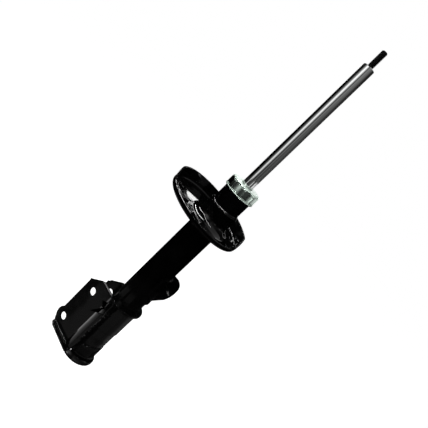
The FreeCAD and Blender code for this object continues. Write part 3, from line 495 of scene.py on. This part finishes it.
low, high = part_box("link_weld")
foot_edge = math.atan2(low.y, low.x)
toe_edge = math.atan2(high.y, high.x)
foot_throat = 0.0026
foot_sink = 0.0002
foot_root_r = tube_r - 0.0004
foot_columns, foot_rows = 8, 200
foot_hollow = 0.7
foot_pitch, foot_ripple = 0.003, 0.0004
lump_fineness, foot_lump = 300.0, 0.0003
section = []
for k in range(foot_columns + 1):
    share = k / foot_columns
    a = foot_edge + (toe_edge - foot_edge) * share
    r = tube_r + foot_throat * (1 - share) ** foot_hollow - foot_sink
    section.append((r * math.cos(a), r * math.sin(a)))
section.append((foot_root_r * math.cos(foot_edge), foot_root_r * math.sin(foot_edge)))
bead = swept_up(section, low.z, high.z, foot_rows)
for corner in bead.verts:
    share = (math.atan2(corner.co.y, corner.co.x) - foot_edge) / (toe_edge - foot_edge)
    r = corner.co.xy.length
    if r > tube_r and 0 < share < 1:
        across = 2 * share - 1
        lump = noise.noise(Vector((corner.co.z * lump_fineness, across, 9.0)))
        rise = foot_ripple * ripple(corner.co.z, foot_pitch, across) + foot_lump * lump
        corner.co.xy *= 1 + rise * (1 - across * across) / r
finished("foot_bead", bead, weld_black, "barrel", "link_weld")

# ---- Floor
# A pale floor well below the strut, wide enough to fill the view. It keeps the strut's shadow,
# and its own glow lets the camera and the reflections see it as white.
floor_z = -1.05
floor_r = 9.0
floor_sides = 96
bed = bmesh.new()
bmesh.ops.create_circle(bed, cap_ends=True, segments=floor_sides, radius=floor_r)
data = bpy.data.meshes.new("floor")
bed.to_mesh(data)
bed.free()
data.transform(Matrix.Translation((0, 0, floor_z)))
floor = bpy.data.objects.new("floor", data)
bpy.context.scene.collection.objects.link(floor)


def in_view(add):
    """1 for what the camera sees, straight, mirrored or through glass, and 0 for fill light."""
    ray = add("LightPath")
    seen = add("Math", operation="ADD", _0=ray.outputs["Is Camera Ray"],
               _1=ray.outputs["Is Glossy Ray"])
    return add("Math", operation="ADD", _0=seen.outputs[0],
               _1=ray.outputs["Is Transmission Ray"]).outputs[0]


floor_finish, shader, add, where = new_finish("floor_white")
plug(shader, Base_Color=(0.8, 0.8, 0.8, 1), Roughness=0.9, Specular_IOR_Level=0.0)
glow = add("Emission", Strength=in_view(add), Color=(0.6, 0.6, 0.6, 1))
both = add("AddShader", _0=shader.outputs[0], _1=glow.outputs[0])
plug(floor_finish.node_tree.nodes["Material Output"], Surface=both.outputs[0])
data.materials.append(floor_finish)

# ---- White surround
# White behind the strut and in its reflections. As fill light it counts half, so that a matt
# surface comes out about as light as its colour.
world = bpy.data.worlds.new("surround")
bpy.context.scene.world = world
world.use_nodes = True
add = node_maker(world.node_tree)
level = add("MapRange", Value=in_view(add), To_Min=0.5, To_Max=1.0)
plug(world.node_tree.nodes["Background"], Strength=level.outputs[0], Color=(1, 1, 1, 1))

# ---- Flags and reflector cards
# Black, grey and white cards round the strut, as a studio sets them for chrome and black gloss.
# They are seen only in reflections. Angles are in degrees to the right of the camera.
view_turn = 208.0
card_step = 4


def card(name, start, end, foot, head, shade, head_shade=None):
    """Part of a ring about the strut, from one angle to another. foot and head are its lower and
    upper edge as (radius, height), each with its own shade."""
    mesh = bmesh.new()
    a = math.radians(view_turn + start - 90)
    ends = [mesh.verts.new((r * math.cos(a), r * math.sin(a), z)) for r, z in (foot, head)]
    edge = mesh.edges.new(ends)
    bmesh.ops.spin(mesh, geom=ends + [edge], cent=(0, 0, 0), axis=(0, 0, 1),
                   angle=math.radians(end - start), steps=max(2, int((end - start) / card_step)))
    data = bpy.data.meshes.new(name)
    mesh.to_mesh(data)
    mesh.free()
    finish = bpy.data.materials.new(name)
    finish.use_nodes = True
    tree = finish.node_tree
    tree.nodes.remove(tree.nodes["Principled BSDF"])
    add = node_maker(tree)
    height = add("SeparateXYZ", Vector=add("TexCoord").outputs["Object"]).outputs["Z"]
    fade = add("MapRange", Value=height, From_Min=foot[1], From_Max=head[1], To_Min=shade,
               To_Max=shade if head_shade is None else head_shade)
    lit = add("Emission", Strength=fade.outputs[0])
    plug(tree.nodes["Material Output"], Surface=lit.outputs[0])
    data.materials.append(finish)
    piece = bpy.data.objects.new(name, data)
    bpy.context.scene.collection.objects.link(piece)
    piece.visible_camera = False
    piece.visible_diffuse = False
    piece.visible_transmission = False
    piece.visible_shadow = False


# round the rod: from, to, shade at the foot and at the head
ring_r = 1.2
ring_low, ring_high = -0.40, 0.36
for start, end, shade, head_shade in (
        (-165, -92, 0.0, 0.0), (-92, -80, 0.0, 0.04), (-80, -70, 0.01, 0.13),
        (-70, -60, 0.05, 0.30), (-60, -48, 0.13, 0.62), (-48, -26, 0.72, 1.5),
        (-26, -17, 0.27, 1.05), (-17, -8, 0.08, 0.48), (-8, 4, 0.015, 0.13),
        (4, 10, 0.04, 0.12), (10, 26, 0.10, 0.28), (26, 48, 0.035, 0.22), (48, 60, 0.075, 0.15),
        (60, 72, 0.09, 0.10), (72, 84, 0.08, 0.04), (84, 122, 0.06, 0.01),
        (122, 146, 0.04, 0.0), (146, 165, 0.1, 0.0)):
    card("rod_card", start, end, (ring_r, ring_low), (ring_r, ring_high), shade, head_shade)

# lower, round the bump cap: from, to, shade
cap_low = -0.478
for start, end, shade in (
        (-165, -110, 0.0), (-110, -80, 0.02), (-80, -56, 0.02), (-56, -50.5, 0.08),
        (-50.5, -47, 0.30), (-47, -39.5, 0.80), (-39.5, -36, 0.14), (-36, -33, 0.08),
        (-33, -27, 0.0), (-27, -16, 0.05), (-16, 8, 0.06), (8, 14, 0.10), (14, 30, 0.14),
        (30, 41.5, 0.75), (41.5, 44, 0.30), (44, 52, 0.03), (52, 70, 0.06), (70, 84, 0.4),
        (84, 94, 1.5), (94, 101, 0.55), (101, 116, 0.14), (116, 140, 0.8), (140, 165, 0.6)):
    card("cap_card", start, end, (ring_r, cap_low), (ring_r, ring_low), shade)

# behind, above and below: name, from, to, foot, head, shade
behind_low, behind_foot, behind_lit, behind_top = -0.60, -0.16, 0.035, 0.163
ceiling_foot, ceiling_head = (ring_r + 0.02, ring_high), (0.02, 1.3)
for name, start, end, foot, head, shade in (
        ("behind_cap", 165, 195, (ring_r, behind_foot), (ring_r, behind_lit), 1.0),
        ("behind_lip", 175, 184, (ring_r - 0.01, -0.50), (ring_r - 0.01, -0.38), 0.8),
        ("behind_dark", 165, 195, (ring_r, behind_low), (ring_r, behind_foot), 0.0),
        ("behind_flag", 165, 195, (ring_r, behind_lit), (ring_r, behind_top), 0.0),
        ("behind_rim", 179, 187, (ring_r, 0.172), (ring_r, 0.20), 5.0),
        ("behind_rim_flag", 178, 187, (ring_r + 0.005, behind_top), (ring_r + 0.005, ring_high),
         0.35),
        ("behind_slope", 165, 178, (ring_r, 0.19), (ring_r, ring_high), 1.0),
        ("behind_slope_flag", 165, 178, (ring_r, behind_top), (ring_r, 0.19), 0.0),
        ("behind_high", 187, 195, (ring_r, behind_top), (ring_r, ring_high), 0.0),
        ("low_flag", -165, 165, (ring_r, floor_z), (ring_r, cap_low), 0.0),
        ("low_flag_behind", 165, 195, (ring_r, floor_z), (ring_r, behind_low), 0.0),
        ("strap_flag", 165, 195, (0.30, -0.43), (0.30, -0.29), 0.0),
        ("ceiling_flag", -195, 15, ceiling_foot, ceiling_head, 0.03),
        ("ceiling_grey", 15, 165, ceiling_foot, ceiling_head, 0.40)):
    card(name, start, end, foot, head, shade)

# on the floor, for the bracket: from, to, inner and outer radius, shade
bench_z = floor_z + 0.01
card("bench", -180, 180, (0.01, bench_z - 0.005), (ring_r + 0.1, bench_z - 0.004), 0.012)
for start, end, near, far, shade in (
        (-62.6, -54, 0.50, 0.95, 0.15), (-122, -108, 0.50, 0.80, 1.6),
        (-108, -96, 0.50, 0.80, 0.9), (-96, -84, 0.50, 0.80, 0.5), (-84, -74, 0.50, 0.80, 0.34),
        (-74, -66, 0.50, 0.80, 0.25), (-54, -34, 0.50, 0.80, 0.16),
        (-125, -103, 0.80, 0.96, 0.7), (-8, 52, 0.63, 0.93, 0.12), (52, 96, 0.63, 0.93, 0.09),
        (96, 125, 0.63, 0.93, 0.19), (125, 150, 0.63, 0.93, 0.12), (-8, 100, 0.50, 0.63, 0.055),
        (-100, -47, 0.97, 1.06, 0.11), (-30, 23, 0.97, 1.05, 0.09)):
    card("bench_card", start, end, (near, bench_z), (far, bench_z + 0.0005), shade)

# ---- Softboxes
# Long narrow softboxes over the strut for its highlights, and a small window behind it.
# All are turned to the spring seat.
seat_middle = Vector((0.015, 0, -0.32))


def softbox(name, start, end, width, radiance):
    """A strip lamp between two ends, each given as (towards the camera, to its right, up)."""
    turn = Matrix.Rotation(math.radians(view_turn - 90), 4, "Z")
    start, end = turn @ Vector(start), turn @ Vector(end)
    middle = (start + end) / 2
    along = (end - start).normalized()
    away = (middle - seat_middle).normalized()
    across = away.cross(along).normalized()
    away = along.cross(across)
    lamp = bpy.data.lights.new(name, "AREA")
    lamp.shape = "RECTANGLE"
    lamp.size, lamp.size_y = (end - start).length, width
    lamp.energy = radiance * math.pi * lamp.size * width
    holder = bpy.data.objects.new(name, lamp)
    turned = Matrix((along, across, away)).transposed().to_4x4()
    holder.matrix_world = Matrix.Translation(middle) @ turned
    holder.visible_camera = False
    bpy.context.scene.collection.objects.link(holder)


strip_z, window_z = 0.28, 0.096
strip_radiance, window_radiance = 36.0, 4.5
softbox("left_strip", (-1.05, -0.98, strip_z), (0.66, -0.81, strip_z), 0.026, strip_radiance)
softbox("front_strip", (0.66, -0.80, strip_z), (0.40, 0.40, strip_z), 0.022, strip_radiance)
softbox("top_strip", (-1.00, -0.37, strip_z), (0.10, -0.10, strip_z), 0.028, strip_radiance)
softbox("back_window", (-1.17, -0.065, window_z), (-1.17, 0.05, window_z), 0.058,
        window_radiance)

# ---- Camera
# A little above the spring seat and looking down at it, rolled on its side until the strut lies
# along the diagonal.
view_lift = 14.2
view_roll = 45.9
view_distance = 0.764
view_aside = 0.004457
aim = (0, 0, -0.315)
focal_length, sensor_width = 40.37, 36.0
eye = bpy.data.objects.new("camera", bpy.data.cameras.new("camera"))
bpy.context.scene.collection.objects.link(eye)
eye.data.lens = focal_length
eye.data.sensor_width = sensor_width
eye.matrix_world = Matrix.Translation(aim) \
    @ Matrix.Rotation(math.radians(view_turn), 4, "Z") \
    @ Matrix.Rotation(math.radians(90 - view_lift), 4, "X") \
    @ Matrix.Translation((-view_aside, 0, view_distance)) \
    @ Matrix.Rotation(math.radians(view_roll), 4, "Z")
bpy.context.scene.camera = eye
bpy.context.scene.view_settings.view_transform = "Standard"
